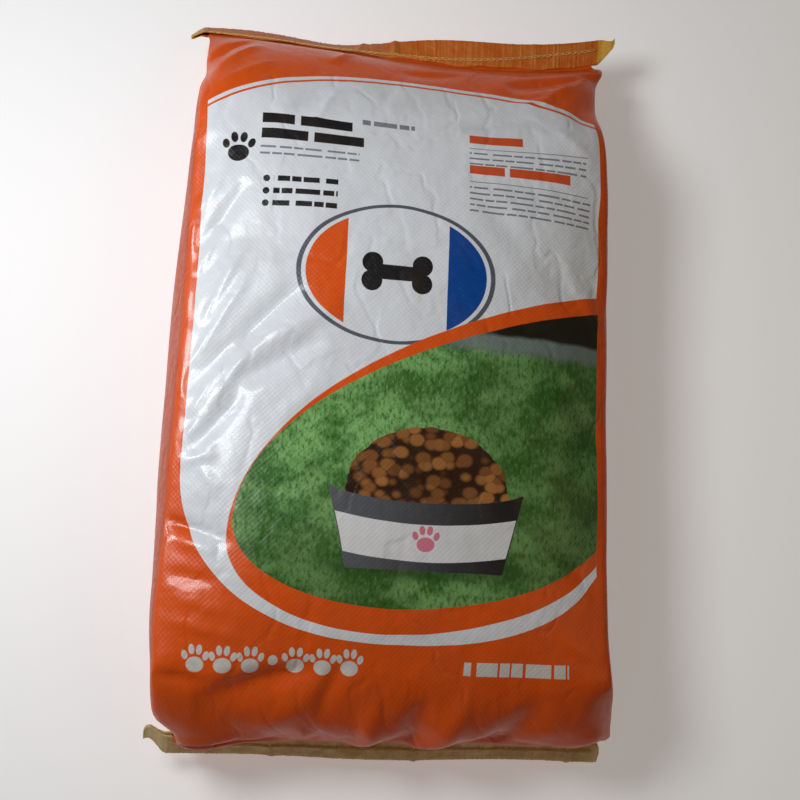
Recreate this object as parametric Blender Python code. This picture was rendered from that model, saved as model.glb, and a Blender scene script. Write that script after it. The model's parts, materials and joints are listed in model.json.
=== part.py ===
# A filled pet food sack lying on its back, printed face up, with a folded paper tape sewn over each flat end.
# Metres, +Z up. +Y runs from the bottom seam to the top seam and +X across the printed face.
# The origin is on the flat underside, in the middle of the sack.

import math

import bmesh
import bpy

# The whole sack
SEAM_WIDTH = 0.440  # the flat width of the tube, which both seams keep
BELLY_WIDTH = 0.454  # where the opened gussets stand out
SACK_HEIGHT = 0.182
OVERALL_LENGTH = 0.775  # between the folds of the two tapes

# The flat ends
FLAP_LENGTH = 0.032  # panels pressed together beyond the filled part
FLAP_THICKNESS = 0.0012
GAP = 0.0003  # left between touching pieces

# The tapes
TAPE_LEG = 0.0285  # how far each side of the folded tape reaches in from its fold
TAPE_THICKNESS = 0.0009
TAPE_FOLD_CORNER = 0.0006

# The sewing
THREAD_RADIUS = 0.0006
THREAD_INSET = 0.017  # from the fold of the tape

# The lie of the ends: height of the root of each flap, and how steeply it hangs, in degrees, from left to right
TOP_ROOT_HEIGHT = 0.062
TOP_DROOP = (40.0, 4.0)
BOTTOM_ROOT_HEIGHT = 0.052
BOTTOM_DROOP = (40.0, 28.0)

# How far each tape runs past the sack's left and right edges
TOP_TAILS = (0.014, 0.018)
BOTTOM_TAILS = (0.022, 0.005)

# The filled part
WIDTH_STEPS = 24  # steps across the sack and across the tapes, so that their flat stretches match
BODY_STATIONS = 40
FLAP_STATIONS = 4
FLAT_BACK = 0.006  # how much of the rounded back is pressed flat by the floor
TOP_PROFILE = (3.8, 0.86)  # the food has sunk away from the top end, which slopes gently
BOTTOM_PROFILE = (5.4, 0.62)  # the bottom end is full and rounds over its seam

BODY_HALF_LENGTH = OVERALL_LENGTH / 2 - FLAP_LENGTH
TAPE_FOLD = FLAP_LENGTH + GAP + TAPE_THICKNESS  # the outside of the fold, measured from the flap's root


def clear_scene():
    for item in list(bpy.data.objects):
        bpy.data.objects.remove(item, do_unlink=True)


def spread(low, high, steps):
    return [low + (high - low) * step / steps for step in range(steps + 1)]


def smooth_step(low, high, value):
    share = min(max((value - low) / (high - low), 0.0), 1.0)
    return share * share * (3 - 2 * share)


def make_material(name, colour, roughness):
    material = bpy.data.materials.new(name)
    material.use_nodes = True
    shader = material.node_tree.nodes["Principled BSDF"]
    shader.inputs["Base Color"].default_value = (*colour, 1.0)
    shader.inputs["Roughness"].default_value = roughness
    shader.inputs["Metallic"].default_value = 0.0
    return material


def make_object(name, mesh_maker, material):
    shape = bmesh.new()
    mesh_maker(shape)
    bmesh.ops.recalc_face_normals(shape, faces=shape.faces[:])
    mesh = bpy.data.meshes.new(name)
    shape.to_mesh(mesh)
    shape.free()
    mesh.materials.append(material)
    mesh.shade_smooth()
    mesh.set_sharp_from_angle(angle=math.radians(50))
    made = bpy.data.objects.new(name, mesh)
    bpy.context.collection.objects.link(made)
    return made


def root_of(end):
    """Height of a flap's root: end is +1 at the top of the sack and -1 at its bottom."""
    return TOP_ROOT_HEIGHT if end > 0 else BOTTOM_ROOT_HEIGHT


def droop_at(end, x):
    """How steeply a flap hangs at one place across the sack, in radians."""
    left, right = TOP_DROOP if end > 0 else BOTTOM_DROOP
    return math.radians(left + (right - left) * (x / SEAM_WIDTH + 0.5))


def flap_point(end, x, along, above):
    """A point on or near a flap: along is measured out from its root, above from its middle plane."""
    droop = droop_at(end, x)
    outward = along * math.cos(droop) + above * math.sin(droop)
    height = root_of(end) - along * math.sin(droop) + above * math.cos(droop)
    return (x, end * (BODY_HALF_LENGTH + outward), height)


def signed_power(value, power):
    return math.copysign(abs(value) ** power, value)


def body_point(place, turn):
    """A point of the filled part: place is -1 to 1 along it, turn is the angle round its section."""
    end = 1 if place >= 0 else -1
    reach = abs(place)
    root = root_of(end)
    bow, bluntness = TOP_PROFILE if end > 0 else BOTTOM_PROFILE
    crown = root + FLAP_THICKNESS / 2 + (SACK_HEIGHT - root) * (1 - reach**bow) ** bluntness
    sole = (root - FLAP_THICKNESS / 2) * smooth_step(0.70, 1.0, reach) ** 1.3
    middle = sole + (crown - sole) * 0.45
    half_width = (SEAM_WIDTH + (BELLY_WIDTH - SEAM_WIDTH) * (1 - reach**4)) / 2
    fullness = 1 - reach**6
    across = signed_power(math.cos(turn), 1 - 0.42 * fullness)
    if math.sin(turn) >= 0:
        height = middle + (crown - middle) * math.sin(turn) ** (1 - 0.30 * fullness)
    else:
        height = middle - (middle - sole) * (-math.sin(turn)) ** (1 - 0.62 * fullness)
    pressed = FLAT_BACK * fullness * (1 - smooth_step(0.62, 0.95, reach))
    lowest = sole if reach > 0.70 else 0.0
    return (half_width * across, place * BODY_HALF_LENGTH, max(height - pressed, lowest))


def add_ring(shape, points):
    return [shape.verts.new(point) for point in points]


def join_rings(shape, rings):
    for near, far in zip(rings, rings[1:]):
        for index in range(len(near)):
            after = (index + 1) % len(near)
            shape.faces.new((near[index], near[after], far[after], far[index]))


def body_ring(place):
    count = 2 * WIDTH_STEPS
    return [body_point(place, 2 * math.pi * index / count) for index in range(count)]


def flap_ring(end, along):
    """The flat end in section: over the top from +X to -X, then back underneath."""
    across = spread(SEAM_WIDTH / 2, -SEAM_WIDTH / 2, WIDTH_STEPS)
    over = [flap_point(end, x, along, FLAP_THICKNESS / 2) for x in across]
    over[0] = flap_point(end, across[0], along, 0.0)
    over[-1] = flap_point(end, across[-1], along, 0.0)
    under = [flap_point(end, x, along, -FLAP_THICKNESS / 2) for x in reversed(across[1:-1])]
    return over + under


def build_sack(shape):
    flap_places = spread(0.0, FLAP_LENGTH, FLAP_STATIONS)
    rings = [add_ring(shape, flap_ring(-1, along)) for along in reversed(flap_places)]
    for step in range(1, BODY_STATIONS):
        # Stations crowd towards the ends, where the sack narrows to its flat seams.
        place = -math.cos(math.pi * step / BODY_STATIONS)
        rings.append(add_ring(shape, body_ring(place)))
    rings += [add_ring(shape, flap_ring(1, along)) for along in flap_places]
    join_rings(shape, rings)
    shape.faces.new(list(reversed(rings[0])))
    shape.faces.new(rings[-1])
    bmesh.ops.triangulate(shape, faces=[face for face in shape.faces if len(face.verts) > 4])


def tape_section():
    """The folded tape seen from its end: pairs of distance out from the flap's root and height above it."""
    inside = FLAP_THICKNESS / 2 + GAP
    outside = inside + TAPE_THICKNESS
    leg_end = TAPE_FOLD - TAPE_LEG
    upper = [
        (leg_end, inside),
        (leg_end, outside),
        (TAPE_FOLD - TAPE_FOLD_CORNER, outside),
        (TAPE_FOLD, outside - TAPE_FOLD_CORNER),
    ]
    lower = [(along, -above) for along, above in reversed(upper)]
    inner_fold = [(TAPE_FOLD - TAPE_THICKNESS, -inside), (TAPE_FOLD - TAPE_THICKNESS, inside)]
    return upper + lower + inner_fold


def build_tape(end, tails):
    def make(shape):
        rings = []
        across = spread(-SEAM_WIDTH / 2, SEAM_WIDTH / 2, WIDTH_STEPS)
        for x in [across[0] - tails[0], *across, across[-1] + tails[1]]:
            rings.append(add_ring(shape, [flap_point(end, x, *spot) for spot in tape_section()]))
        join_rings(shape, rings)
        shape.faces.new(list(reversed(rings[0])))
        shape.faces.new(rings[-1])
        bmesh.ops.triangulate(shape, faces=[face for face in shape.faces if len(face.verts) > 4])

    return make


def make_thread(name, end, material):
    """The sewing as one run of thread lying along the upper side of a tape."""
    curve = bpy.data.curves.new(name, "CURVE")
    curve.dimensions = "3D"
    curve.bevel_depth = THREAD_RADIUS
    curve.bevel_resolution = 1
    curve.use_fill_caps = True
    line = curve.splines.new("POLY")
    along = TAPE_FOLD - THREAD_INSET
    above = FLAP_THICKNESS / 2 + GAP + TAPE_THICKNESS + GAP + THREAD_RADIUS
    across = spread(-SEAM_WIDTH / 2, SEAM_WIDTH / 2, WIDTH_STEPS)
    line.points.add(len(across) - 1)
    for point, x in zip(line.points, across):
        point.co = (*flap_point(end, x, along, above), 1.0)
    curve.materials.append(material)
    made = bpy.data.objects.new(name, curve)
    bpy.context.collection.objects.link(made)
    return made


clear_scene()
film = make_material("printed_film", (0.62, 0.13, 0.03), 0.32)
kraft = make_material("crepe_paper", (0.48, 0.33, 0.13), 0.75)
cotton = make_material("sewing_thread", (0.78, 0.66, 0.36), 0.8)
make_object("sack", build_sack, film)
make_object("top_tape", build_tape(1, TOP_TAILS), kraft)
make_object("bottom_tape", build_tape(-1, BOTTOM_TAILS), kraft)
make_thread("top_seam_thread", 1, cotton)
make_thread("bottom_seam_thread", -1, cotton)
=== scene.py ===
import json
import math

import bmesh
import bpy
import numpy as np
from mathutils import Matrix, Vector

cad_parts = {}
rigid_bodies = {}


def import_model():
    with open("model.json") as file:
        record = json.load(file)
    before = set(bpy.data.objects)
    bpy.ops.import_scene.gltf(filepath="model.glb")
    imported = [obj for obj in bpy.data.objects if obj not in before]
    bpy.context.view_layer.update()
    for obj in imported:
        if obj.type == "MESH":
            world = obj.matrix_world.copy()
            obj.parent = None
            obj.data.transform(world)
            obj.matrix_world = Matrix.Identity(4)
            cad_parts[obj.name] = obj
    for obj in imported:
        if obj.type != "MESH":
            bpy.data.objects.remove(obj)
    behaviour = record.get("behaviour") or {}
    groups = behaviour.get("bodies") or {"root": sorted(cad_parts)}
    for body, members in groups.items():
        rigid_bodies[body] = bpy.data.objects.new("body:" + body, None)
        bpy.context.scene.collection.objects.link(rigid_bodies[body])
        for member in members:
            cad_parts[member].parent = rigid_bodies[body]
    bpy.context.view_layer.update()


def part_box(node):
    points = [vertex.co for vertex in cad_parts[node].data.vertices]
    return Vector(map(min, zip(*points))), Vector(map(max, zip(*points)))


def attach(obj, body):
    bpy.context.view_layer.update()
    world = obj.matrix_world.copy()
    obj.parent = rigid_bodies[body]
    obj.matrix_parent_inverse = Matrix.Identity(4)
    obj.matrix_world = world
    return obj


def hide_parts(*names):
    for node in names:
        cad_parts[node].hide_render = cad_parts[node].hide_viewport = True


# A filled pet food sack lying on its back. Its cloth is laid out as a flat tube with folded gussets,
# filled by a cloth simulation, creased, and then printed in the tube's own measure.

for startupItem in list(bpy.data.objects):
    bpy.data.objects.remove(startupItem, do_unlink=True)
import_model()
sackLow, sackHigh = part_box("sack")
topTapeLow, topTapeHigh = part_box("top_tape")
bottomTapeLow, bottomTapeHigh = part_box("bottom_tape")
threadLow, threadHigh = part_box("top_seam_thread")
collection = bpy.context.scene.collection
sackWidth = threadHigh.x - threadLow.x  # the flat width of the tube, which the seams keep

camera = {
    "place": (-0.142, -0.262, 1.180),
    "turn": (11.96, -7.8, 2.4),  # degrees: tipped to the foot of the sack, turned in from the left, rolled
    "lens": 50.0,
}
floor = {"size": 6.0, "colour": (0.86, 0.86, 0.87), "glow": 0.26}
lights = [
    {"name": "windowLight", "place": (-0.62, 0.17, 0.88), "size": (0.40, 0.30), "power": 7.3, "colour": (0.93, 0.97, 1.0)},
    {"name": "roomLight", "place": (1.2, -0.35, 1.4), "size": (1.2, 1.0), "power": 1.5, "colour": (1.0, 0.72, 0.40)},
    {"name": "glintLight", "place": (-1.30, 0.30, 0.80), "size": (0.30, 0.22), "power": 9.0,
     "colour": (0.93, 0.97, 1.0), "glossOnly": True},
]
skyLight = {"colour": (1.0, 0.80, 0.55), "strength": 0.085}


def mixed(low, high, share):
    return low + (high - low) * share


def smoothStep(low, high, value):
    share = np.clip((value - low) / (high - low), 0.0, 1.0)
    return share * share * (3 - 2 * share)


def ridge(distance, width):
    # 1 on the line and falling away sharply, like a pressed crease
    return np.exp(-np.abs(distance) / width)


def swell(distance, width):
    return np.exp(-((distance / width) ** 2))


def paint(red, green, blue):
    # a printer's colour out of 255, as the shader's own linear values
    return tuple(((part / 255 + 0.055) / 1.055) ** 2.4 if part > 10 else part / 3295 for part in (red, green, blue))


# Shader maths: a Value is one socket, and Python's operators on it add Math nodes.


class Value:
    def __init__(self, finish, socket):
        self.finish, self.socket = finish, socket

    def maths(self, operation, *others):
        return self.finish.node("ShaderNodeMath", {"operation": operation}, [self, *others])

    def backwards(self, operation, first):
        return self.finish.node("ShaderNodeMath", {"operation": operation}, [first, self])

    def __add__(self, other):
        return self.maths("ADD", other)

    __radd__ = __add__

    def __sub__(self, other):
        return self.maths("SUBTRACT", other)

    def __rsub__(self, other):
        return self.backwards("SUBTRACT", other)

    def __mul__(self, other):
        return self.maths("MULTIPLY", other)

    __rmul__ = __mul__

    def __truediv__(self, other):
        return self.maths("DIVIDE", other)

    def __pow__(self, other):
        return self.maths("POWER", other)

    def __abs__(self):
        return self.maths("ABSOLUTE")

    def sine(self):
        return self.maths("SINE")

    def wrap(self, length):
        # runs from 0 to length again and again
        return self.maths("FLOORED_MODULO", length)

    def least(self, other):
        return self.maths("MINIMUM", other)

    def most(self, other):
        return self.maths("MAXIMUM", other)

    def between(self, low, high):
        # 0 below low, 1 above high, smooth between
        return self.finish.node(
            "ShaderNodeMapRange", {"interpolation_type": "SMOOTHSTEP"}, {"Value": self, "From Min": low, "From Max": high}
        )

    def under(self, edge, soft):
        return 1 - self.between(edge - soft, edge + soft)

    def other(self, name):
        return Value(self.finish, self.socket.node.outputs[name])


class Finish:
    def __init__(self, name, shader):
        self.material = bpy.data.materials.new(name)
        self.material.use_nodes = True
        self.tree = self.material.node_tree
        self.shader = self.tree.nodes["Principled BSDF"]
        for socket, number in shader.items():
            self.shader.inputs[socket].default_value = number

    def node(self, kind, settings, sockets):
        made = self.tree.nodes.new(kind)
        for setting, choice in settings.items():
            if setting == "stops":
                for index, (place, colour) in enumerate(choice):
                    stop = made.color_ramp.elements[index] if index < 2 else made.color_ramp.elements.new(place)
                    stop.position, stop.color = place, (*colour, 1.0)
            else:
                setattr(made, setting, choice)
        pairs = sockets.items() if isinstance(sockets, dict) else enumerate(sockets)
        for socket, value in pairs:
            self.plug(made.inputs[socket], value)
        first = next(socket for socket in made.outputs if socket.enabled)
        return Value(self, first)

    def plug(self, socket, value):
        if isinstance(value, Value):
            self.tree.links.new(value.socket, socket)
        elif isinstance(value, tuple) and len(value) == 3 and socket.type == "RGBA":
            socket.default_value = (*value, 1.0)
        else:
            socket.default_value = value

    def measure(self, name):
        # a UV map's two lengths in millimetres
        place = self.node("ShaderNodeUVMap", {"uv_map": name}, {})
        across = self.node("ShaderNodeSeparateXYZ", {}, [place])
        return across * 1000, across.other("Y") * 1000

    def point(self, x, y, z=0.0):
        return self.node("ShaderNodeCombineXYZ", {}, [x, y, z])

    def noise(self, vector, size, detail=3.0, rough=0.55):
        sockets = {"Vector": vector, "Scale": 1 / size, "Detail": detail, "Roughness": rough}
        return self.node("ShaderNodeTexNoise", {}, sockets)

    def cells(self, vector, size, feature="F1"):
        return self.node("ShaderNodeTexVoronoi", {"feature": feature}, {"Vector": vector, "Scale": 1 / size})

    def mix(self, mask, low, high):
        # one colour laid over another where the mask is 1
        return self.node("ShaderNodeMix", {"data_type": "RGBA"}, {0: mask, 6: low, 7: high})

    def bump(self, height, distance, under=None):
        sockets = {"Height": height, "Distance": distance, "Strength": 1.0}
        if under:
            sockets["Normal"] = under
        return self.node("ShaderNodeBump", {}, sockets)

    def connect(self, **sockets):
        for name, value in sockets.items():
            self.plug(self.shader.inputs[name.replace("_", " ")], value)


# Camera, light and floor.


def setView():
    lens = bpy.data.cameras.new("viewCamera")
    lens.lens = camera["lens"]
    lens.clip_start = 0.05
    eye = bpy.data.objects.new("viewCamera", lens)
    eye.location = camera["place"]
    eye.rotation_mode = "ZXY"
    eye.rotation_euler = [math.radians(angle) for angle in camera["turn"]]
    collection.objects.link(eye)
    bpy.context.scene.camera = eye
    bpy.context.scene.view_settings.view_transform = "Standard"


def setLights():
    for plan in lights:
        lamp = bpy.data.lights.new(plan["name"], "AREA")
        lamp.shape = "RECTANGLE"
        lamp.size, lamp.size_y = plan["size"]
        lamp.energy = plan["power"]
        lamp.color = plan["colour"]
        holder = bpy.data.objects.new(plan["name"], lamp)
        holder.location = plan["place"]
        holder.visible_diffuse = not plan.get("glossOnly", False)
        aim = Vector((0.0, 0.0, sackHigh.z / 2)) - holder.location
        holder.rotation_euler = aim.to_track_quat("-Z", "Y").to_euler()
        collection.objects.link(holder)
    world = bpy.data.worlds.new("room")
    world.use_nodes = True
    background = world.node_tree.nodes["Background"]
    background.inputs["Color"].default_value = (*skyLight["colour"], 1.0)
    background.inputs["Strength"].default_value = skyLight["strength"]
    bpy.context.scene.world = world


def makeFloor():
    reach = floor["size"] / 2
    mesh = bpy.data.meshes.new("floor")
    corners = [(-reach, -reach, 0), (reach, -reach, 0), (reach, reach, 0), (-reach, reach, 0)]
    mesh.from_pydata(corners, [], [(0, 1, 2, 3)])
    plain = bpy.data.materials.new("floorPaint")
    plain.use_nodes = True
    shader = plain.node_tree.nodes["Principled BSDF"]
    shader.inputs["Base Color"].default_value = (*floor["colour"], 1.0)
    shader.inputs["Roughness"].default_value = 0.9
    shader.inputs["Emission Color"].default_value = (1.0, 1.0, 1.0, 1.0)
    shader.inputs["Emission Strength"].default_value = floor["glow"]
    mesh.materials.append(plain)
    made = bpy.data.objects.new("floor", mesh)
    collection.objects.link(made)
    return made


# The flat ends, which the cloth, the tapes and the sewing share.

ends = {
    1: {
        "root": (topTapeHigh.y - 0.0332, 0.062),
        "droop": (47.0, -8.0), "turn": (-0.095, 0.100),
        "tucks": [(-0.056, 0.35, 0.0035, 0.0022), (-0.012, 0.05, 0.0030, 0.0026), (0.150, -0.10, 0.0040, 0.0012)],
        "wave": (0.0016, 31.0, 0.4),
    },
    -1: {
        "root": (bottomTapeLow.y + 0.0350, 0.052),
        "droop": (48.0, 44.0), "turn": (-0.160, 0.060),
        "tucks": [(-0.122, 0.20, 0.0040, 0.0020), (0.028, 0.10, 0.0030, 0.0022), (0.190, 0.10, 0.0030, 0.0020)],
        "wave": (0.0014, 24.0, 1.7),
    },
}


skew = {  # how far each end is drawn out along the sack at four places across it, and sideways
    1: {"from": 0.16, "across": (-0.22, -0.066, 0.022, 0.198), "along": (0.009, 0.005, 0.000, 0.027),
        "sidewaysFrom": 0.33, "sideways": (0.0, 0.0),
        "flapFrom": 0.30, "flapAcross": (-0.22, -0.066, 0.066, 0.21), "flapAlong": (0.0, 0.001, 0.003, -0.0124)},
    -1: {"from": 0.22, "across": (-0.22, -0.07, 0.07, 0.22), "along": (0.010, 0.010, 0.008, 0.006),
         "sidewaysFrom": 0.335, "sideways": (0.020, 0.008),
         "flapFrom": 0.33, "flapAcross": (-0.22, -0.07, 0.07, 0.22), "flapAlong": (0.0, 0.0, 0.0, 0.0)},
}


def skewEnds(places):
    # the sewn ends don't lie quite square
    for end, plan in skew.items():
        x, reach = places[..., 0], end * places[..., 1]
        root = abs(ends[end]["root"][0])
        drawn = np.polyval(np.polyfit(plan["across"], plan["along"], 3), np.clip(x, -0.225, 0.225))
        sideways = mixed(*plan["sideways"], smoothStep(-sackWidth / 2, sackWidth / 2, x))
        sideways = sideways * smoothStep(plan["sidewaysFrom"], root, reach)
        flap = np.polyval(np.polyfit(plan["flapAcross"], plan["flapAlong"], 3), np.clip(x, -0.225, 0.225))
        drawn = drawn * smoothStep(plan["from"], root, reach) + flap * smoothStep(plan["flapFrom"], root, reach)
        places[..., 1] += end * drawn
        places[..., 0] += sideways
    return places


def flapPlace(end, x, along, above):
    # a point near a flat end: along is measured out from the flap's root, above from its middle plane
    plan = ends[end]
    droop = np.radians(mixed(*plan["droop"], smoothStep(*plan["turn"], x)))
    height, rate, shift = plan["wave"]
    lift = height * np.sin(rate * x + shift) * smoothStep(0.0, 0.030, along)
    for place, lean, width, rise in plan["tucks"]:
        lift = lift + rise * ridge(x - place - lean * along, width) * smoothStep(0.002, 0.012, along)
    above = above + lift
    outward = along * np.cos(droop) + above * np.sin(droop)
    rootY, rootZ = plan["root"]
    return np.stack([x + 0 * outward, end * (abs(rootY) + outward), rootZ - along * np.sin(droop) + above * np.cos(droop)], -1)


# The cloth of the sack.

sackPlan = {
    "columnsPerPanel": 60, "gussetShare": 6,  # a gusset's half is a sixth of a panel
    "flap": 0.032, "flapThickness": 0.0012,
    "crown": 0.176, "ease": 0.985,
    "topEnd": {"bow": 3.8, "bluntness": 0.86, "opens": 0.15, "settles": 0.11},
    "bottomEnd": {"bow": 9.0, "bluntness": 0.50, "opens": 0.06, "settles": 0.06},
    "unevenness": 0.0006, "seed": 3,
}
fillPlan = {
    "frames": 30, "steps": 6,
    "litres": 46.0, "push": 80.0, "grainWeight": 0.8, "gravity": 0.7,
    "clothWeight": 0.05, "stretch": 60.0, "squeeze": 40.0, "shear": 20.0, "bend": 1.5,
}

panelSteps = sackPlan["columnsPerPanel"]
foldSteps = panelSteps // sackPlan["gussetShare"]
clothStep = sackWidth / panelSteps
foldWidth = foldSteps * clothStep  # half a gusset
columns = 2 * panelSteps + 4 * foldSteps
# Where each stretch of the tube starts, going round from the front panel's left edge
stretches = np.cumsum([0, panelSteps, foldSteps, foldSteps, panelSteps, foldSteps, foldSteps])


def tubeSection(halfHeight, inset, edgeLift=0.0):
    # the tube cut across: x and height of every column, its gusset creases pushed in by inset
    half = sackWidth / 2
    corners = [
        (-half, halfHeight + edgeLift), (half, halfHeight + edgeLift), (half - inset, 0.0),
        (half, -halfHeight - edgeLift), (-half, -halfHeight - edgeLift), (-half + inset, 0.0),
        (-half, halfHeight + edgeLift),
    ]
    place = np.arange(columns)
    across = np.interp(place, stretches, [corner[0] for corner in corners])
    height = np.interp(place, stretches, [corner[1] for corner in corners])
    return across, height


def flatLayers():
    # x and layer of every column where the tube is pressed flat: 1 is the front panel, -1 the back
    across, layer = tubeSection(1.0, foldWidth)
    inFold = (stretches[1] < np.arange(columns)) & (np.arange(columns) < stretches[3])
    inFold |= np.arange(columns) > stretches[4]
    return across, np.where(inFold, 0.35 * np.sign(layer + 1e-9), np.sign(layer))


def endPlan(y):
    return (ends[1]["root"], sackPlan["topEnd"]) if y > 0 else (ends[-1]["root"], sackPlan["bottomEnd"])


def crownHeight(y):
    (rootY, rootZ), plan = endPlan(y)
    fullness = (1 - min(abs(y / rootY), 1.0) ** plan["bow"]) ** plan["bluntness"]
    return mixed(rootZ, sackPlan["crown"], fullness)


def startSection(y):
    # the tube part opened, before it is filled
    (rootY, rootZ), plan = endPlan(y)
    inside = abs(rootY) - abs(y)
    early = smoothStep(-0.02, plan["opens"], 0.0)
    opened = (smoothStep(-0.02, plan["opens"], inside) - early) / (1 - early)
    height = 2 * foldWidth * math.sin(math.pi / 2 * opened) * 0.98 + sackPlan["flapThickness"] * 0.7
    middle = mixed(rootZ, height / 2 + 0.002, smoothStep(0.0, plan["settles"], inside))
    middle = max(middle, height / 2 + 0.002)
    inset = math.sqrt(max(foldWidth**2 - (height / 2) ** 2, 0.0))
    across, z = tubeSection(height / 2, inset)
    return np.stack([across, np.full(columns, y), z + middle], -1)


def layCloth():
    # rows of the tube as it starts, the same rows as they were cut, and which rows the seams hold
    across, layer = flatLayers()
    lengths = np.linspace(ends[-1]["root"][0], ends[1]["root"][0], 3001)
    crown = np.array([crownHeight(y) for y in lengths])
    path = np.concatenate([[0], np.cumsum(np.hypot(np.diff(lengths), np.diff(crown)))])
    cutLength = path[-1] * sackPlan["ease"]
    bodyRows = round(cutLength / clothStep)
    flapRows = max(3, round(sackPlan["flap"] / clothStep))
    flapPlaces = np.linspace(sackPlan["flap"], 0.0, flapRows + 1)
    above = layer * sackPlan["flapThickness"] / 2
    rows, cuts, held = [], [], []
    for along in flapPlaces:
        rows.append(flapPlace(-1, across, along, above))
        cuts.append(-cutLength / 2 - along)
        held.append(True)
    for row in range(1, bodyRows):
        rows.append(startSection(np.interp(path[-1] * row / bodyRows, path, lengths)))
        cuts.append(mixed(-cutLength / 2, cutLength / 2, row / bodyRows))
        held.append(False)
    for along in flapPlaces[::-1]:
        rows.append(flapPlace(1, across, along, above))
        cuts.append(cutLength / 2 + along)
        held.append(True)
    start = np.array(rows)
    held = np.array(held)
    bumps = np.random.default_rng(sackPlan["seed"]).normal(0, sackPlan["unevenness"], start.shape)
    start[~held] += bumps[~held]
    height = foldWidth * 0.97
    x, z = tubeSection(height, math.sqrt(foldWidth**2 - height**2))
    cut = np.zeros_like(start)
    cut[:, :, 0], cut[:, :, 2] = x, z
    cut[:, :, 1] = np.array(cuts)[:, None]
    return start, cut, held


def endCap(row):
    # faces that close one flat end, layer to layer
    def at(column):
        return row * columns + column % columns

    def strip(first, second, steps):
        # two runs of columns that meet at their first column
        for step in range(steps):
            near, far = (at(first(step)), at(first(step + 1))), (at(second(step)), at(second(step + 1)))
            yield [near[0], near[1], far[1]] + ([] if near[0] == far[0] else [far[0]])

    back = stretches[4]
    yield from strip(lambda s: stretches[1] - s, lambda s: stretches[1] + s, foldSteps)
    yield from strip(lambda s: stretches[3] + s, lambda s: stretches[3] - s, foldSteps)
    yield from strip(lambda s: s, lambda s: -s, foldSteps)
    yield from strip(lambda s: back - s, lambda s: back + s, foldSteps)
    for step in range(foldSteps, panelSteps - foldSteps):
        yield [at(step), at(step + 1), at(back - step - 1), at(back - step)]


def weaveTube(start, cut):
    rows = len(start)
    faces = []
    for row in range(rows - 1):
        for column in range(columns):
            after = (column + 1) % columns
            near, far = row * columns, (row + 1) * columns
            faces.append([near + column, near + after, far + after, far + column])
    sides = len(faces)
    faces += list(endCap(0)) + list(endCap(rows - 1))
    mesh = bpy.data.meshes.new("sackCloth")
    mesh.from_pydata(start.reshape(-1, 3).tolist(), [], faces)
    measure = mesh.uv_layers.new(name="print")
    tube = columns * clothStep
    for polygon in mesh.polygons:
        for corner, vertex in zip(polygon.loop_indices, polygon.vertices):
            u = (vertex % columns) * clothStep - sackWidth / 2
            if polygon.index < sides and vertex % columns == 0 and polygon.index % columns == columns - 1:
                u += tube
            measure.data[corner].uv = (u, cut.reshape(-1, 3)[vertex][1])
    made = bpy.data.objects.new("sack_cloth", mesh)
    collection.objects.link(made)
    shape = bmesh.new()
    shape.from_mesh(mesh)
    bmesh.ops.recalc_face_normals(shape, faces=shape.faces[:])
    shape.to_mesh(mesh)
    shape.free()
    return made


def fillSack(cloth, cut, held):
    # the cloth keeps the lengths it was cut to while the food presses it out against the floor
    cloth.shape_key_add(name="start")
    flat = cloth.shape_key_add(name="cut")
    flat.data.foreach_set("co", cut.reshape(-1).astype(np.float32))
    flat.value = 0.0
    seams = cloth.vertex_groups.new(name="seams")
    seams.add([row * columns + column for row in np.flatnonzero(held).tolist() for column in range(columns)], 1.0, "REPLACE")
    ground = makeGround()
    fineness = (42 / panelSteps) ** 2
    modifier = cloth.modifiers.new("fill", "CLOTH")
    stuff = modifier.settings
    stuff.quality = fillPlan["steps"]
    stuff.mass = fillPlan["clothWeight"] * fineness
    stuff.tension_stiffness = fillPlan["stretch"]
    stuff.compression_stiffness = fillPlan["squeeze"]
    stuff.shear_stiffness = fillPlan["shear"]
    stuff.bending_stiffness = fillPlan["bend"]
    stuff.tension_damping = stuff.compression_damping = stuff.shear_damping = 10.0
    stuff.bending_damping = 1.0
    stuff.air_damping = 2.0
    stuff.vertex_group_mass = "seams"
    stuff.rest_shape_key = flat
    stuff.use_pressure = stuff.use_pressure_volume = True
    stuff.uniform_pressure_force = 0.0
    stuff.target_volume = fillPlan["litres"] / 1000
    stuff.pressure_factor = fillPlan["push"]
    stuff.fluid_density = fillPlan["grainWeight"]
    stuff.effector_weights.gravity = fillPlan["gravity"]
    modifier.collision_settings.distance_min = 0.002
    modifier.point_cache.frame_end = fillPlan["frames"]
    for step in range(1, fillPlan["frames"] + 1):
        bpy.context.scene.frame_set(step)
    filled = cloth.evaluated_get(bpy.context.evaluated_depsgraph_get())
    places = np.empty(len(cloth.data.vertices) * 3, np.float32)
    filled.data.vertices.foreach_get("co", places)
    cloth.modifiers.clear()
    cloth.shape_key_clear()
    bpy.data.objects.remove(ground)
    bpy.context.scene.frame_set(1)
    return places.reshape(-1, 3).astype(float)


def makeGround():
    mesh = bpy.data.meshes.new("ground")
    mesh.from_pydata([(-1, -1, -0.001), (1, -1, -0.001), (1, 1, -0.001), (-1, 1, -0.001)], [], [(0, 1, 2, 3)])
    ground = bpy.data.objects.new("ground", mesh)
    collection.objects.link(ground)
    ground.modifiers.new("floor", "COLLISION")
    ground.collision.thickness_outer = 0.001
    ground.collision.cloth_friction = 20.0
    return ground


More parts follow.
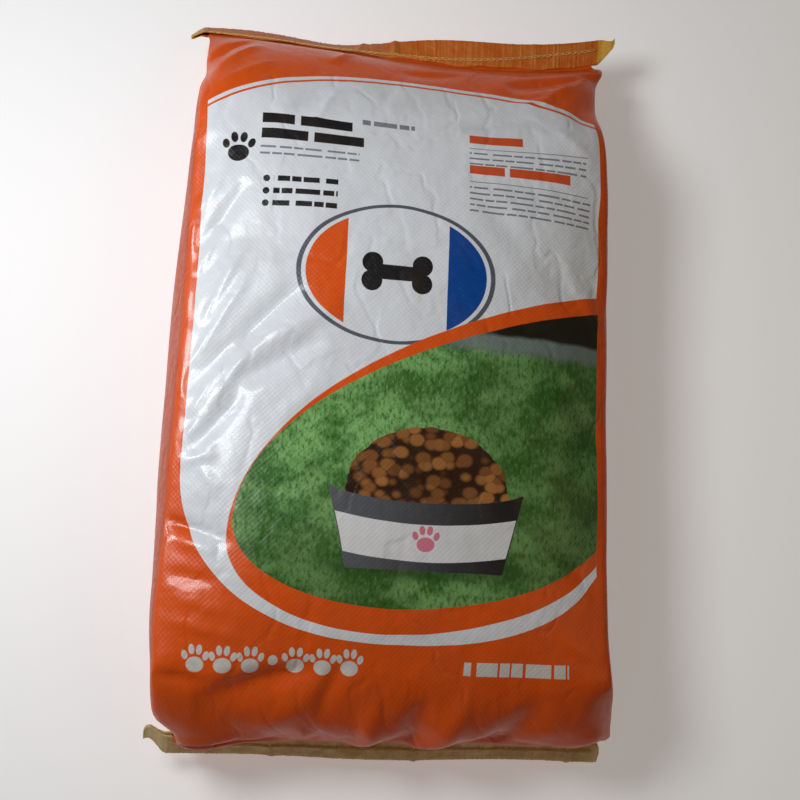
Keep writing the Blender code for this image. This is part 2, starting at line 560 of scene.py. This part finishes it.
settlePlan = {
    "straightFrom": 0.212, "leftBulge": 0.45, "rightBulge": 0.28,  # how much of the gussets' bulge is kept
    "floorGap": 0.0002, "lowered": (0.30, 0.345),  # onto the floor, all but the flat ends
    "overhang": 0.011,  # the belly leans out over the bottom tape
    "smoothings": 4,
}
handPushes = [  # centre, reach, and how far the cloth there was pushed
    {"at": (-0.235, -0.262, 0.06), "reach": 0.055, "push": (-0.009, 0.0, 0.0)},
    {"at": (0.215, -0.350, 0.09), "reach": 0.055, "push": (0.025, 0.0, 0.004)},
    {"at": (0.225, 0.255, 0.09), "reach": 0.050, "push": (-0.009, 0.0, 0.0)},
    {"at": (0.215, 0.345, 0.08), "reach": 0.035, "push": (0.014, 0.0, 0.0)},
    {"at": (-0.225, 0.270, 0.08), "reach": 0.050, "push": (-0.005, 0.0, 0.0)},
    {"at": (-0.210, -0.348, 0.085), "reach": 0.048, "push": (0.003, -0.019, 0.0)},
]


def soothe(places, held):
    # the laminated film is stiffer than the cloth that was simulated, so its smallest wrinkles go
    grid = places.reshape(-1, columns, 3)
    free = np.flatnonzero(~held)
    for _ in range(settlePlan["smoothings"]):
        around = (np.roll(grid, 1, 0) + np.roll(grid, -1, 0) + np.roll(grid, 1, 1) + np.roll(grid, -1, 1)) / 4
        grid[free] = mixed(grid[free], around[free], 0.6)
    return grid.reshape(-1, 3)


def settle(places, held):
    # neighbouring goods and handling keep the sides straighter than the filling alone does
    free = np.repeat(~held, columns).astype(float)
    x, y, z = places.T.copy()
    beyond = np.maximum(np.abs(x) - settlePlan["straightFrom"], 0.0)
    kept = np.where(x < 0, settlePlan["leftBulge"], settlePlan["rightBulge"])
    places[:, 0] = np.sign(x) * (np.abs(x) - beyond * (1 - kept))
    for touch in handPushes:
        distance = np.linalg.norm(places - touch["at"], axis=1)
        places = places + (free * swell(distance, touch["reach"]))[:, None] * touch["push"]
    lean = swell(y + 0.345, 0.035) * smoothStep(0.045, 0.110, z) * (1 - smoothStep(0.17, 0.22, np.abs(x)))
    places[:, 1] -= settlePlan["overhang"] * lean * free * smoothStep(-0.20, 0.05, x)
    drop = z.min() - settlePlan["floorGap"]
    places[:, 2] -= drop * (1 - smoothStep(*settlePlan["lowered"], np.abs(y)))
    return skewEnds(places)


def setPlaces(mesh, places):
    mesh.vertices.foreach_set("co", places.reshape(-1).astype(np.float32))
    mesh.update()


def refine(item, levels):
    modifier = item.modifiers.new("refine", "SUBSURF")
    modifier.levels = modifier.render_levels = levels
    modifier.uv_smooth = "NONE"
    smooth = bpy.data.meshes.new_from_object(item.evaluated_get(bpy.context.evaluated_depsgraph_get()))
    item.modifiers.clear()
    item.data = smooth
    smooth.shade_smooth()
    return item


def makeSack():
    start, cut, held = layCloth()
    cloth = weaveTube(start, cut)
    places = fillSack(cloth, cut, held)
    setPlaces(cloth.data, settle(soothe(places, held), held))
    refine(cloth, 1)
    return cloth


# The printed film: plain fields, arches and simple shapes, in millimetres on the flat tube.

tube = columns * clothStep * 1000
edge = sackWidth * 500  # from the front panel's middle line to its fold
design = {
    "orange": paint(227, 86, 16), "white": paint(226, 229, 235), "ink": paint(26, 26, 30),
    "grey": paint(88, 92, 104), "blue": paint(6, 70, 150), "pink": paint(214, 120, 140),
    "field": {"left": -206, "right": edge - 16, "foot": (13, -80), "reach": (220.6, 173.0), "squareness": 2.4},
    "arch": {"centre": (12, -176), "radius": 492, "band": 4.2, "line": 2.4},
    "sweep": {  # each edge of the orange ring is an upper arch and a lower one
        "outer": [((552, -169), (709, 302.5), 0.0), ((35, -144), (193, 98), 0.13)],
        "inner": [((613, -152.5), (765, 271.3), 0.0), ((37.5, -132), (190, 88), 0.11)],
    },
    "plate": {"centre": (-10, 93), "reach": (98, 70), "rim": 3.4, "margin": 3.0, "side": 50},
    "meadow": {"light": paint(132, 186, 108), "dark": paint(66, 122, 46), "deep": paint(34, 70, 24),
               "hedge": paint(22, 24, 14), "path": paint(120, 128, 132)},
    "bowl": {"centre": (28, -148), "half": 94, "taper": 0.26, "height": 74, "lip": 16, "heap": (80, 62),
             "glaze": paint(24, 25, 28), "band": paint(222, 222, 224), "kibble": (paint(96, 54, 24), paint(176, 116, 60))},
    "wordPitch": 17.0,
}


class Sheet:
    # draws on the flat film: every shape is a distance in millimetres, below 0 inside it
    def __init__(self, finish, x, y):
        self.finish, self.x, self.y = finish, x, y

    def moved(self, centre, turn=0.0):
        x, y = self.x - centre[0], self.y - centre[1]
        if turn == 0.0:
            return Sheet(self.finish, x, y)
        across, along = math.cos(turn), math.sin(turn)
        return Sheet(self.finish, x * across + y * along, y * across - x * along)

    def mirrored(self):
        return Sheet(self.finish, abs(self.x), abs(self.y))

    def oval(self, reach, squareness=2.0):
        x, y = self.x / reach[0], self.y / reach[1]
        if squareness == 2.0:
            total = x * x + y * y
        else:
            total = abs(x) ** squareness + abs(y) ** squareness
        return (total ** (1 / squareness) - 1) * min(reach)

    def disc(self, centre, radius):
        return self.moved(centre).oval((radius, radius))

    def box(self, centre, size):
        near = self.moved(centre)
        return (abs(near.x) - size[0] / 2).most(abs(near.y) - size[1] / 2)

    def bone(self, half, girth):
        near = self.mirrored()
        knob = near.disc((half - girth * 0.2, girth * 0.75), girth * 0.85)
        return knob.least((near.x - half).most(near.y - girth * 0.62))

    def paw(self, size):
        sides = Sheet(self.finish, abs(self.x), self.y)
        pad = self.moved((0, -0.18 * size)).oval((0.30 * size, 0.24 * size))
        toe = sides.moved((0.13 * size, 0.28 * size), -0.15).oval((0.10 * size, 0.155 * size))
        outerToe = sides.moved((0.36 * size, 0.10 * size), -0.35).oval((0.10 * size, 0.145 * size))
        return pad.least(toe).least(outerToe)

    def lines(self, left, right, top, pitch, count, height):
        # broken rules that stand where small print would be
        place = (top - self.y) / pitch
        row = place.maths("FLOOR")
        inRow = abs(place - row - 0.5) * pitch - height / 2
        step = self.x / design["wordPitch"] + row * 0.37 + 0.3 * (self.x * 0.11 + row * 1.7).sine()
        gap = (0.84 - abs(step.wrap(1.0))) * -design["wordPitch"]
        middle = top - pitch * count / 2
        return inRow.most(gap).most(self.box(((left + right) / 2, middle), (right - left, pitch * count)))


def printed(distance, soft=0.3):
    return distance.under(0.0, soft)


def ringEdge(sheet, arcs):
    (topPlace, topReach, topTurn), (footPlace, footReach, footTurn) = arcs
    above = sheet.moved(topPlace, topTurn).oval(topReach)
    foot = sheet.moved(footPlace, footTurn)
    return above.most(foot.oval(footReach).least(-1 * foot.y))


def meadow(film, sheet):
    # grass out of focus, a hedge and a path far off, and a heaped bowl in front
    look = design["meadow"]
    place = film.point(sheet.x, sheet.y * 0.7)
    clumps = film.noise(film.point(sheet.x, sheet.y * 1.5), 50, 4).between(0.38, 0.62)
    blades = film.noise(film.point(sheet.x, sheet.y * 0.45), 3.2, 4, 0.7)
    grass = film.mix(clumps, look["light"], look["dark"])
    grass = film.mix(blades.between(0.46, 0.66) * 0.75, grass, look["deep"])
    grass = film.mix(blades.between(0.34, 0.46) * -0.55 + 0.55, grass, paint(150, 190, 140))
    grass = film.mix(sheet.x.between(-60, 230) * 0.62, grass, look["deep"])
    grass = film.mix((0 - sheet.y).between(60, 190) * (1 - sheet.x.between(-40, 60)) * 0.5, grass, look["deep"])
    far = sheet.y + 8 * film.noise(place, 30, 1)
    grass = film.mix(far.between(22, 34) * sheet.x.between(20, 60) * 0.8, grass, look["path"])
    return film.mix(far.between(42, 47) * sheet.x.between(60, 96), grass, look["hedge"])


def bowl(film, sheet, colour):
    plan = design["bowl"]
    near = sheet.moved(plan["centre"])
    shade = near.moved((6, -plan["height"] / 2)).oval((plan["half"], 11))
    colour = film.mix(printed(shade, 5.0) * 0.7, colour, design["meadow"]["deep"])
    rimHeight = plan["height"] / 2
    heap = near.moved((0, rimHeight - 4)).oval(plan["heap"])
    bits = film.cells(film.point(near.x, near.y * 1.25), 13.0)
    tone = bits.other("Color")
    crumb = film.mix(tone, *plan["kibble"])
    crumb = film.mix(bits.between(0.42, 0.72), crumb, paint(48, 24, 10))
    colour = film.mix(printed(heap + bits * 3), colour, crumb)
    half = plan["half"] + (near.y - rimHeight) * plan["taper"]
    body = (abs(near.x) - half).most(abs(near.y + 2) - rimHeight)
    body = body.most(near.moved((0, rimHeight + 2)).oval((plan["half"], plan["lip"])) * -1)
    glazed = film.mix(near.x.between(-plan["half"], plan["half"]), paint(92, 94, 100), plan["glaze"])
    colour = film.mix(printed(body), colour, glazed)
    sag = near.y + 10 - near.x * near.x * 0.0012
    band = (abs(sag + 4) - 17).most(body + 1)
    colour = film.mix(printed(band), colour, plan["band"])
    return film.mix(printed(near.moved((0, -10)).paw(28)), colour, design["pink"])


def plate(film, sheet, colour):
    plan = design["plate"]
    near = sheet.moved(plan["centre"])
    oval = near.oval(plan["reach"])
    colour = film.mix(printed(oval), colour, design["grey"])
    colour = film.mix(printed(oval + plan["rim"]), colour, design["white"])
    sides = printed((oval + plan["rim"] + plan["margin"]).most(plan["side"] - abs(near.x)))
    colour = film.mix(sides, colour, film.mix(near.x.between(-1, 1), design["orange"], design["blue"]))
    return film.mix(printed(near.bone(27, 12)), colour, design["ink"])


def smallPrint(sheet, colour):
    film = sheet.finish
    black = sheet.box((-134, 246), (32, 11)).least(sheet.box((-86, 246), (52, 11)))
    black = black.least(sheet.box((-127, 229), (46, 11))).least(sheet.box((-73, 229), (50, 11)))
    black = black.least(sheet.moved((-172, 214)).paw(36))
    near = Sheet(film, sheet.x, (sheet.y - 150).wrap(12.6) - 6.3)
    bullets = near.disc((-142, 0), 3.4).most(abs(sheet.y - 169) - 19)
    black = black.least(bullets)
    black = black.least(sheet.lines(-135, -72, 188, 12.6, 3, 5.5))
    colour = film.mix(printed(black), colour, design["ink"])
    fine = sheet.lines(-150, -52, 218, 7.0, 2, 2.2).least(sheet.lines(-50, 4, 261, 14, 1, 6.0))
    fine = fine.least(sheet.lines(60, 186, 234, 6.4, 3, 2.0)).least(sheet.lines(60, 192, 194, 6.4, 5, 2.0))
    fine = fine.least(sheet.box((124, 236.5), (128, 0.9))).least(sheet.box((124, 197), (128, 0.9)))
    colour = film.mix(printed(fine) * 0.8, colour, design["grey"])
    heads = sheet.box((88, 248), (56, 10)).least(sheet.box((78, 211), (36, 10))).least(sheet.box((134, 211), (66, 10)))
    return film.mix(printed(heads), colour, paint(214, 84, 44))


def footPrint(sheet):
    # a row of paws with a dot between, and a short broken bar
    away = abs(sheet.x + 106) - 8
    paws = Sheet(sheet.finish, away.wrap(25) - 12.5, sheet.y + 270)
    row = paws.paw(27).most(away - 75).most(0 - away)
    row = row.least(sheet.disc((-106, -270), 4.5))
    return row.least(sheet.lines(72, 172, -263, 17, 1, 12))


def filmFinish():
    film = Finish("printedFilm", {"Coat Roughness": 0.13, "IOR": 1.32})
    x, y = film.measure("print")
    sheet = Sheet(film, x, y)
    field, arch = design["field"], design["arch"]
    crown = arch["radius"] - ((x - arch["centre"][0]) ** 2 + (y - arch["centre"][1]) ** 2) ** 0.5
    foot = sheet.moved(field["foot"])
    whole = foot.oval(field["reach"], field["squareness"]).least(-1 * foot.y)
    whole = whole.most(field["left"] - x).most(x - field["right"]).most(-1 * crown)
    white = printed(whole)
    line = printed(abs(crown - arch["band"] - arch["line"] / 2) - arch["line"] / 2)
    outer = printed(ringEdge(sheet, design["sweep"]["outer"]))
    inner = printed(ringEdge(sheet, design["sweep"]["inner"]))
    colour = film.mix(white * (1 - line), design["orange"], design["white"])
    colour = smallPrint(sheet, colour)
    colour = plate(film, sheet, colour)
    inPanel = printed((x - field["right"]).most(field["left"] - x))
    colour = film.mix(outer * inPanel, colour, design["orange"])
    colour = film.mix(inner * inPanel, colour, bowl(film, sheet, meadow(film, sheet)))
    colour = film.mix(printed(footPrint(sheet)), colour, paint(214, 208, 204))
    round2 = tube / 2 - abs(tube / 2 - abs(x))
    # painted shade: every gusset is darkened towards deep red across its whole width, for the sides that turn away
    # from the light
    gussetPaintedShade = round2.between(edge, edge + 4) * (1 - round2.between(edge + 142, edge + 146))
    colour = film.mix(gussetPaintedShade * 0.42, colour, paint(120, 40, 16))
    rules = printed(abs(abs(round2 - edge - 37) - 28) - 0.5) * printed(abs(y) - 330)
    colour = film.mix(rules * 0.6, colour, paint(120, 40, 16))
    dull = film.noise(film.point(x, y), 60, 4)
    colour = film.mix(dull.between(0.35, 0.75) * 0.10, colour, paint(120, 96, 76))
    scuffs = film.noise(film.point(x, y * 2.2), 9, 5, 0.7)
    weave = (x * (math.pi / 2.5)).sine() * (y * (math.pi / 2.5)).sine()
    crinkle = film.noise(film.point(x, y), 30, 2)
    normal = film.bump(weave * 0.5 + 0.5, 0.00013)
    normal = film.bump(crinkle, 0.0020, normal)
    folds = abs(film.noise(film.point(x, y * 0.8), 80, 3, 0.45) - 0.5).between(0.0, 0.04)
    normal = film.bump(folds, 0.0005, normal)
    coat = 0.03 + 0.25 * (1 - round2.between(edge - 6, edge + 2)) * y.between(-345, -320)
    film.connect(Base_Color=colour, Normal=normal, Roughness=0.32 + 0.18 * scuffs.between(0.35, 0.7), Coat_Weight=coat)
    return film.material


# Creases pressed into the filled cloth: start and end on the flat film, half width and height, in millimetres.

creases = [
    # long folds that run up from the left edge
    ((-205, 84), (-186, 132), 5, 4.0), ((-196, 34), (-158, 116), 5, 4.6), ((-204, -6), (-150, 86), 5, 4.6),
    ((-200, -56), (-155, 28), 5, 4.4), ((-188, -58), (-148, 8), 5, 4.6), ((-206, -80), (-182, -50), 4, 3.4),
    ((-205, -32), (-100, 80), 10, -6.0), ((-168, -28), (-78, 26), 11, -5.0), ((-196, -88), (-150, -30), 8, -4.0),
    ((-206, 150), (-180, 200), 6, 3.0), ((-204, 108), (-160, 180), 8, -3.6), ((-196, 190), (-170, 240), 6, 2.0),
    ((-130, 20), (-60, 60), 9, 2.2), ((-120, -60), (-70, -10), 9, 2.0),
    # the star where they meet, and the pinch under it
    ((-208, -98), (-170, -90), 3, 3.6), ((-190, -97), (-172, -74), 3, 3.0), ((-190, -99), (-166, -124), 3, 3.0),
    ((-220, -150), (-152, -168), 4, -6.0), ((-208, -166), (-166, -180), 6, 3.0), ((-210, -200), (-160, -206), 7, -2.4),
    ((-214, -238), (-136, -252), 4, 2.4), ((-216, -284), (-164, -290), 4, -5.0), ((-200, -220), (-150, -232), 5, 2.0),
    # the shoulder under the top seam
    ((-205, 300), (-150, 352), 5, 4.0), ((-212, 326), (-165, 376), 6, -4.6), ((-200, 280), (-140, 318), 4, 2.4),
    ((-184, 268), (-198, 236), 3, -2.6), ((-120, 262), (-66, 300), 6, -2.8), ((-100, 244), (-72, 300), 4, 2.6),
    ((-84, 330), (-50, 376), 5, 3.6), ((-34, 276), (-14, 308), 4, -2.2), ((40, 275), (100, 292), 3, 3.2),
    ((92, 291), (156, 302), 3, 3.2), ((50, 262), (130, 282), 7, -3.0), ((106, 322), (190, 334), 8, -5.0),
    ((140, 298), (204, 342), 5, 3.4), ((150, 266), (196, 232), 5, 2.6), ((-10, 330), (60, 340), 7, -2.4),
    # the foot, pushed up into lobes
    ((-216, -330), (-120, -334), 3, 4.4), ((-214, -341), (-110, -343), 3, -5.2), ((-206, -352), (-96, -350), 4, 3.6),
    ((-176, -304), (-60, -274), 10, -7.0), ((-96, -345), (-78, -318), 4, 3.6), ((-80, -350), (-66, -320), 4, -3.4),
    ((-42, -352), (-2, -300), 9, 6.0), ((-10, -354), (46, -298), 10, -7.6), ((20, -352), (86, -296), 9, 6.0),
    ((60, -354), (156, -298), 10, -7.4), ((130, -346), (200, -326), 9, 3.6), ((92, -282), (58, -248), 5, 2.0),
    ((-62, -310), (-40, -268), 8, -3.6), ((110, -332), (204, -354), 6, -3.6), ((-150, -336), (-60, -296), 9, 3.2),
    # the far side
    ((206, -60), (146, 24), 10, -2.6), ((208, 60), (158, 134), 9, 2.4), ((206, -200), (146, -150), 9, -2.8),
    ((206, -262), (160, -240), 6, 2.0), ((120, 120), (60, 200), 12, -1.6), ((-20, 190), (-90, 120), 12, -1.4),
]


def pressCreases(item):
    mesh = item.data
    count = len(mesh.vertices)
    corner = np.empty(len(mesh.loops), np.int32)
    mesh.loops.foreach_get("vertex_index", corner)
    flat = np.empty(len(mesh.loops) * 2, np.float32)
    mesh.uv_layers["print"].data.foreach_get("uv", flat)
    place = np.zeros((count, 2))
    place[corner] = flat.reshape(-1, 2) * 1000
    places = np.empty(count * 3, np.float32)
    mesh.vertices.foreach_get("co", places)
    normals = np.empty(count * 3, np.float32)
    mesh.vertex_normals.foreach_get("vector", normals)
    places, normals = places.reshape(-1, 3).astype(float), normals.reshape(-1, 3)
    inside = 1 - smoothStep(352, 392, np.abs(place[:, 1]))
    for start, end, width, height in creases:
        start, run = np.array(start), np.subtract(end, start)
        length = np.hypot(*run)
        along = (place - start) @ run / length**2
        near = start + np.clip(along, 0, 1)[:, None] * run
        away = np.linalg.norm(place - near, axis=1)
        taper = np.sin(np.pi * np.clip(along, 0.0, 1.0)) ** 0.6
        shape = ridge(away, width) if width < 6 else swell(away, width)
        places += (normals.T * shape * taper * inside * height / 1000).T
    places[:, 2] = np.maximum(places[:, 2], settlePlan["floorGap"])
    setPlaces(mesh, places)


# Crepe tapes, folded over the flat ends and sewn through.

tapes = {
    "top": {"end": 1, "low": topTapeLow.x, "high": topTapeHigh.x, "leg": 0.0285,
            "seam": (0.0240, 0.0115), "curls": ((-0.011, 0.002, 0.35), (0.004, 0.006, 0.6))},
    "bottom": {"end": -1, "low": bottomTapeLow.x, "high": bottomTapeHigh.x, "leg": 0.0285,
               "seam": (0.0170, 0.0170), "curls": ((0.012, 0.010, 0.4), (0.0, 0.002, 0.3))},
}
tapeCut = {"stations": 420, "legSteps": 8, "foldSteps": 5, "paper": 0.00026, "clear": 0.00045, "corner": 0.008, "crinkle": 0.00035}


def strip(name, rows, measures, thickness):
    # a sheet from rows of points, with its own flat measure, thickened evenly
    rows = np.asarray(rows)
    count, width = rows.shape[:2]
    faces = [
        (a * width + b, a * width + b + 1, (a + 1) * width + b + 1, (a + 1) * width + b)
        for a in range(count - 1) for b in range(width - 1)
    ]
    mesh = bpy.data.meshes.new(name)
    mesh.from_pydata(rows.reshape(-1, 3).tolist(), [], faces)
    flat = mesh.uv_layers.new(name="cut")
    measures = np.asarray(measures).reshape(-1, 2)
    for loop in mesh.loops:
        flat.data[loop.index].uv = measures[loop.vertex_index]
    made = bpy.data.objects.new(name, mesh)
    collection.objects.link(made)
    thicken = made.modifiers.new("thickness", "SOLIDIFY")
    thicken.thickness, thicken.offset = thickness, 0.0
    made.data = bpy.data.meshes.new_from_object(made.evaluated_get(bpy.context.evaluated_depsgraph_get()))
    made.modifiers.clear()
    made.data.shade_smooth()
    return made


def tapeSection(plan, x, distance):
    # from the upper free edge, over the fold, to the lower one: how far out, how far above the middle
    tip = sackPlan["flap"] + tapeCut["clear"]
    gap = sackPlan["flapThickness"] / 2 + tapeCut["clear"]
    shrink = 1 - smoothStep(0.0, 0.006, distance - 0.002) * 0.0
    corner = tapeCut["corner"]
    rounding = 1 - math.sqrt(max(0.0, 1 - max(0.0, 1 - distance / corner) ** 2))
    reach = plan["leg"] * (1 - 0.5 * rounding)
    wander = 0.0009 * math.sin(x * 61 + 1) + 0.0006 * math.sin(x * 143 + 2)
    start = tip - gap - reach + wander
    legs = np.linspace(start, tip - gap, tapeCut["legSteps"] + 1)
    stand = 0.0007 * np.linspace(1, 0, tapeCut["legSteps"] + 1) ** 2 * (1 + math.sin(x * 83))
    turn = np.linspace(90, -90, tapeCut["foldSteps"] + 2)[1:-1] * math.pi / 180
    out = np.concatenate([legs, tip - gap + gap * np.cos(turn), legs[::-1]])
    above = np.concatenate([gap + stand, gap * np.sin(turn), -gap - stand[::-1]])
    return out * shrink, above


def makeTape(name):
    plan = tapes[name]
    rows, measures = [], []
    noise = np.random.default_rng(11 + plan["end"])
    crinkles = np.abs(noise.normal(0, tapeCut["crinkle"], tapeCut["stations"] + 1))
    for index, x in enumerate(np.linspace(plan["low"], plan["high"], tapeCut["stations"] + 1)):
        distance = min(x - plan["low"], plan["high"] - x)
        out, above = tapeSection(plan, x, distance)
        beyond = abs(x) - sackWidth / 2
        across = np.full_like(out, x)
        points = None
        squeeze = smoothStep(-0.004, 0.010, beyond)
        shiftY, shiftZ, narrow = plan["curls"][0 if x < 0 else 1]
        middle = out.mean()
        out = middle + (out - middle) * (1 - narrow * smoothStep(0.0, 0.016, beyond))
        above = above * (1 - 0.35 * squeeze) + crinkles[index] * np.sign(above)
        points = skewEnds(flapPlace(plan["end"], across, out, above))
        lift = smoothStep(0.0, 0.018, beyond)
        points[:, 1] += shiftY * lift
        points[:, 2] += shiftZ * lift
        rows.append(points)
        steps = np.concatenate([[0], np.cumsum(np.hypot(np.diff(out), np.diff(above)))])
        measures.append(np.stack([across, steps], -1))
    return strip(name + "_crepe_tape", rows, measures, tapeCut["paper"])


sewing = {"pitch": 0.0072, "thread": 0.00042, "rise": 0.0016, "turns": 10, "sides": 5}


def tubeAlong(path, radius, sides, closed):
    # a round thread along a path
    path = np.asarray(path)
    ahead = np.roll(path, -1, 0) - np.roll(path, 1, 0)
    if not closed:
        ahead[0], ahead[-1] = path[1] - path[0], path[-1] - path[-2]
    ahead /= np.linalg.norm(ahead, axis=1)[:, None]
    side = np.cross(ahead, (0, 0, 1.0))
    side /= np.linalg.norm(side, axis=1)[:, None]
    up = np.cross(side, ahead)
    angles = np.arange(sides) / sides * math.tau
    rings = path[:, None] + radius * (np.cos(angles)[:, None] * side[:, None] + np.sin(angles)[:, None] * up[:, None])
    faces, count = [], len(path)
    for ring in range(count if closed else count - 1):
        for spoke in range(sides):
            a, b = ring * sides, (ring + 1) % count * sides
            faces.append((a + spoke, b + spoke, b + (spoke + 1) % sides, a + (spoke + 1) % sides))
    if not closed:
        faces += [tuple(range(sides)), tuple((count - 1) * sides + spoke for spoke in range(sides - 1, -1, -1))]
    return rings.reshape(-1, 3), faces


def makeStitches(name):
    # a chain of loops above the tape and a plain run of stitches below it
    plan = tapes[name]
    height = sackPlan["flapThickness"] / 2 + tapeCut["clear"] + tapeCut["paper"] / 2 + tapeCut["crinkle"]
    height += sewing["thread"]
    reach = sackWidth / 2 - 0.004
    points, faces = [], []

    def add(path, closed):
        rings, sides = tubeAlong(path, sewing["thread"], sewing["sides"], closed)
        base = sum(len(part) for part in points)
        points.append(rings)
        faces.extend(tuple(base + corner for corner in side) for side in sides)

    count = int(2 * reach / sewing["pitch"])
    for stitch in range(count):
        x = mixed(-reach, reach, (stitch + 0.5) / count)
        along = sackPlan["flap"] - mixed(*plan["seam"], smoothStep(0.02, 0.21, x))
        angles = np.arange(sewing["turns"]) / sewing["turns"] * math.tau
        across = x + sewing["pitch"] * 0.62 * np.cos(angles)
        out = along + 0.0011 * np.sin(angles) * (1 + 0.4 * np.cos(angles))
        above = height + 0.0009 * (0.5 + 0.5 * np.cos(angles))
        add(skewEnds(flapPlace(plan["end"], across, out, above)), True)
        run = np.linspace(-0.42, 0.42, 5) * sewing["pitch"]
        sag = 0.0004 * np.cos(np.linspace(-1.5, 1.5, 5))
        add(skewEnds(flapPlace(plan["end"], x + run, np.full(5, along), -height - sag)), False)
    mesh = bpy.data.meshes.new(name + "_seam_stitches")
    mesh.from_pydata(np.concatenate(points).tolist(), [], faces)
    mesh.shade_smooth()
    made = bpy.data.objects.new(name + "_seam_stitches", mesh)
    collection.objects.link(made)
    return made


def crepeFinish(name, bare, over, covered):
    # paper that the film shows through where it lies on it
    crepe = Finish(name, {"Coat Weight": 0.0, "IOR": 1.45})
    x, s = crepe.measure("cut")
    lines = crepe.noise(crepe.point(x, s * 0.06), 1.5, 3, 0.6)
    patches = crepe.noise(crepe.point(x, s), 14, 3)
    tails = abs(x).between(edge - 3, edge + 3)
    colour = crepe.mix(patches.between(0.35, 0.65) * 0.6, over, covered)
    colour = crepe.mix(tails, colour, bare)
    rim = (s - 28.5).maths("ABSOLUTE").under(29.0, 0.4)
    colour = crepe.mix(lines.between(0.50, 0.80) * 0.08, colour, paint(90, 48, 18))
    colour = crepe.mix((1 - rim) * 0.3, colour, bare)
    tall = crepe.bump(lines, 0.0003)
    tall = crepe.bump(patches, 0.002, tall)
    crepe.connect(Base_Color=colour, Normal=tall, Roughness=0.42 + 0.2 * patches)
    return crepe.material


def threadFinish():
    thread = Finish("sewingThread", {"IOR": 1.45})
    place = thread.node("ShaderNodeTexCoord", {}, {}).other("Object")
    twist = thread.noise(place, 0.0008, 2)
    colour = thread.mix(twist, paint(196, 150, 70), paint(236, 204, 132))
    thread.connect(Base_Color=colour, Normal=thread.bump(twist, 0.0002), Roughness=0.6 + 0.2 * twist)
    return thread.material


def finishPiece(item, material, node):
    item.data.materials.clear()
    item.data.materials.append(material)
    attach(item, "root")
    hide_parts(node)


setView()
setLights()
makeFloor()
print("camera, lights and floor are set", flush=True)
sack = makeSack()
pressCreases(sack)
finishPiece(sack, filmFinish(), "sack")
print("the sack is filled, creased and printed", flush=True)
crepes = {
    "top": crepeFinish("topCrepe", paint(214, 156, 44), paint(202, 98, 26), paint(208, 126, 42)),
    "bottom": crepeFinish("bottomCrepe", paint(236, 208, 150), paint(226, 190, 122), paint(194, 146, 82)),
}
stitching = threadFinish()
for name in tapes:
    finishPiece(makeTape(name), crepes[name], name + "_tape")
    finishPiece(makeStitches(name), stitching, name + "_seam_thread")
print("the ends are taped and sewn", flush=True)
